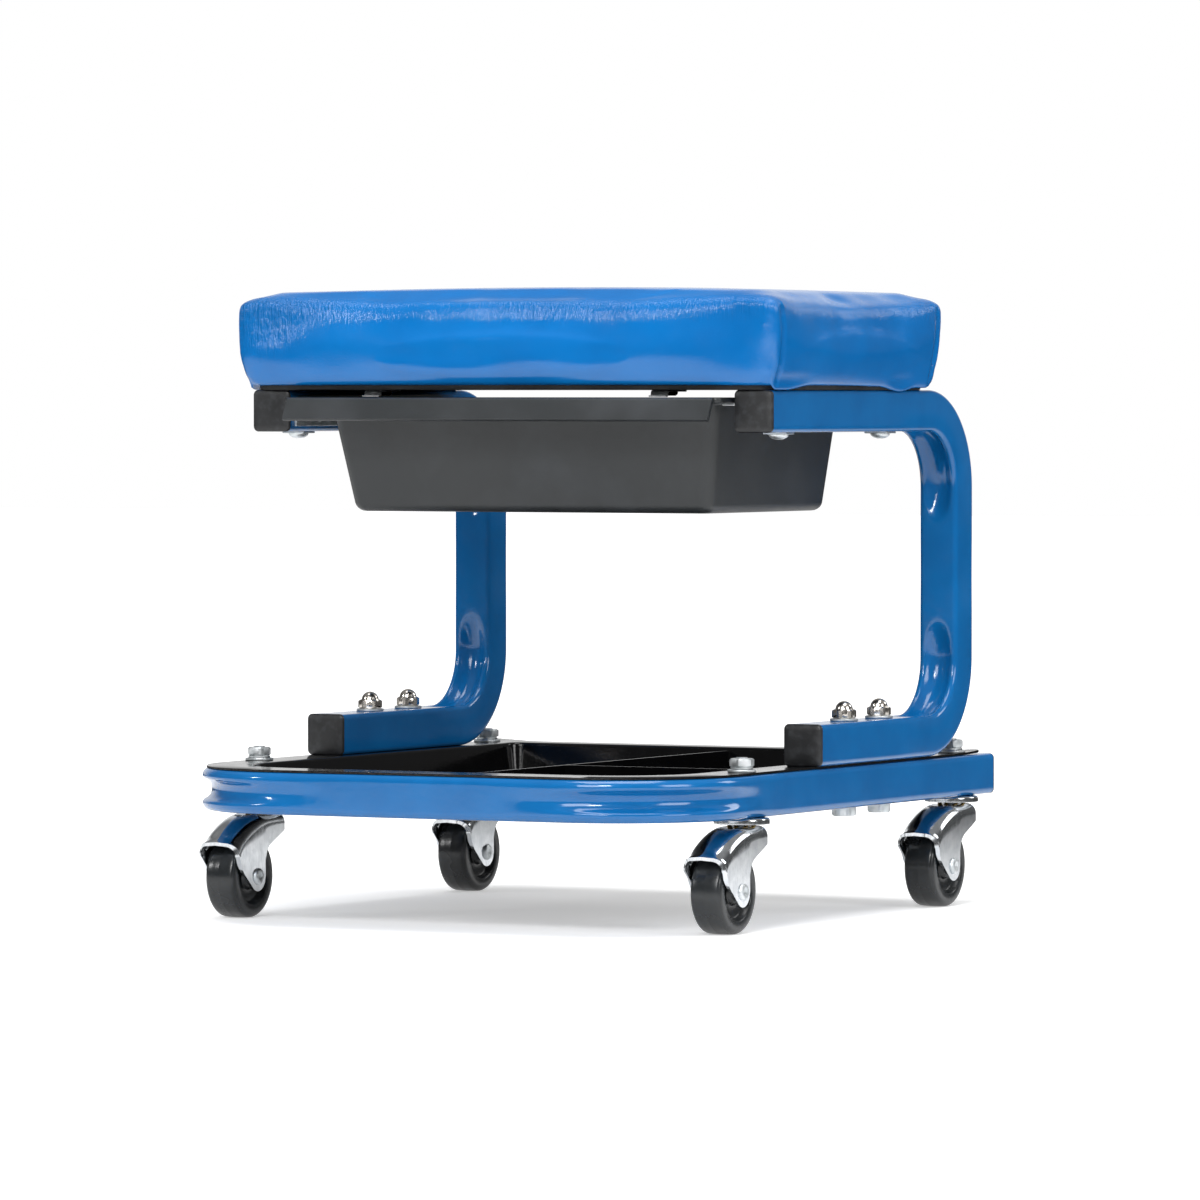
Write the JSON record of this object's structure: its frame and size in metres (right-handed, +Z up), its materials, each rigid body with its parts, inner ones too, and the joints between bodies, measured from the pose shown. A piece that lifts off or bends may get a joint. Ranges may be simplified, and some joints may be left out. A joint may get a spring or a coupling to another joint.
{
  "type": "rolling mechanic seat",
  "caption": "Low rolling work seat: blue padded top on bent square-tube side frames, sliding bin under the seat, divided tool tray in the base, swivel casters.",
  "frame": {"origin": "on the floor under the middle of the base", "axes": "+X to the sitter's right, +Y to the rear, +Z up"},
  "size_m": [0.367, 0.4292, 0.3815],
  "materials": {
    "blue_vinyl": "glossy grained vinyl",
    "plywood": "raw",
    "black_fabric": "non-woven",
    "blue_paint": "gloss powder coat",
    "black_paint": "gloss powder coat",
    "black_plastic": "satin moulded",
    "bin_plastic": "satin moulded",
    "wheel_plastic": "moulded",
    "zinc_steel": "bright zinc",
    "nickel_steel": "nickel plated",
    "chrome_steel": "bright plated",
    "black_steel": "black oxide",
    "bearing_steel": "greased"
  },
  "bodies": {
    "frame": {"seat_cushion": "blue_vinyl", "seat_board": "plywood", "seat_dust_cover": "black_fabric", "left_side_tube": "blue_paint", "right_side_tube": "blue_paint", "base_frame": "blue_paint", "left_upper_cap": "black_plastic", "right_upper_cap": "black_plastic", "left_lower_cap": "black_plastic", "right_lower_cap": "black_plastic", "left_base_plug": "black_plastic", "right_base_plug": "black_plastic", "tool_tray": "black_paint", "tray_long_divider": "black_paint", "tray_cross_divider": "black_paint", "frame_bolts": "zinc_steel", "frame_washers": "zinc_steel", "frame_dome_nuts": "nickel_steel", "caster_nuts": "zinc_steel", "caster_lock_washers": "zinc_steel", "caster_washers": "zinc_steel", "seat_tee_nuts": "zinc_steel", "seat_screws": "zinc_steel", "seat_square_washers": "zinc_steel", "left_drawer_rail": "zinc_steel", "right_drawer_rail": "zinc_steel", "rail_rivets": "zinc_steel", "left_stop_clip": "zinc_steel", "right_stop_clip": "zinc_steel", "clip_screws": "black_steel", "front_left_stem": "zinc_steel", "front_left_race": "chrome_steel", "front_right_stem": "zinc_steel", "front_right_race": "chrome_steel", "rear_left_stem": "zinc_steel", "rear_left_race": "chrome_steel", "rear_right_stem": "zinc_steel", "rear_right_race": "chrome_steel"},
    "drawer": {"drawer_bin": "bin_plastic"},
    "front_left_swivel_fork": {"front_left_fork": "chrome_steel", "front_left_axle": "zinc_steel", "front_left_balls": "bearing_steel"},
    "front_left_roller": {"front_left_wheel": "wheel_plastic"},
    "front_right_swivel_fork": {"front_right_fork": "chrome_steel", "front_right_axle": "zinc_steel", "front_right_balls": "bearing_steel"},
    "front_right_roller": {"front_right_wheel": "wheel_plastic"},
    "rear_left_swivel_fork": {"rear_left_fork": "chrome_steel", "rear_left_axle": "zinc_steel", "rear_left_balls": "bearing_steel"},
    "rear_left_roller": {"rear_left_wheel": "wheel_plastic"},
    "rear_right_swivel_fork": {"rear_right_fork": "chrome_steel", "rear_right_axle": "zinc_steel", "rear_right_balls": "bearing_steel"},
    "rear_right_roller": {"rear_right_wheel": "wheel_plastic"}
  },
  "joints": [
    {"name": "drawer_slide", "type": "slide", "parent": "frame", "child": "drawer", "axis": [0, -1, 0], "range_m": [0, 0.15]},
    {"name": "front_left_swivel", "type": "hinge", "parent": "frame", "child": "front_left_swivel_fork", "pos_m": [-0.163, -0.109, 0.0622], "axis": [0, 0, 1], "continuous": true},
    {"name": "front_left_wheel_spin", "type": "hinge", "parent": "front_left_swivel_fork", "child": "front_left_roller", "pos_m": [-0.163, -0.133, 0.025], "axis": [1, 0, 0], "continuous": true},
    {"name": "front_right_swivel", "type": "hinge", "parent": "frame", "child": "front_right_swivel_fork", "pos_m": [0.163, -0.109, 0.0622], "axis": [0, 0, 1], "continuous": true},
    {"name": "front_right_wheel_spin", "type": "hinge", "parent": "front_right_swivel_fork", "child": "front_right_roller", "pos_m": [0.163, -0.133, 0.025], "axis": [1, 0, 0], "continuous": true},
    {"name": "rear_left_swivel", "type": "hinge", "parent": "frame", "child": "rear_left_swivel_fork", "pos_m": [-0.163, 0.179, 0.0622], "axis": [0, 0, 1], "continuous": true},
    {"name": "rear_left_wheel_spin", "type": "hinge", "parent": "rear_left_swivel_fork", "child": "rear_left_roller", "pos_m": [-0.163, 0.155, 0.025], "axis": [1, 0, 0], "continuous": true},
    {"name": "rear_right_swivel", "type": "hinge", "parent": "frame", "child": "rear_right_swivel_fork", "pos_m": [0.163, 0.179, 0.0622], "axis": [0, 0, 1], "continuous": true},
    {"name": "rear_right_wheel_spin", "type": "hinge", "parent": "rear_right_swivel_fork", "child": "rear_right_roller", "pos_m": [0.163, 0.155, 0.025], "axis": [1, 0, 0], "continuous": true}
  ]
}
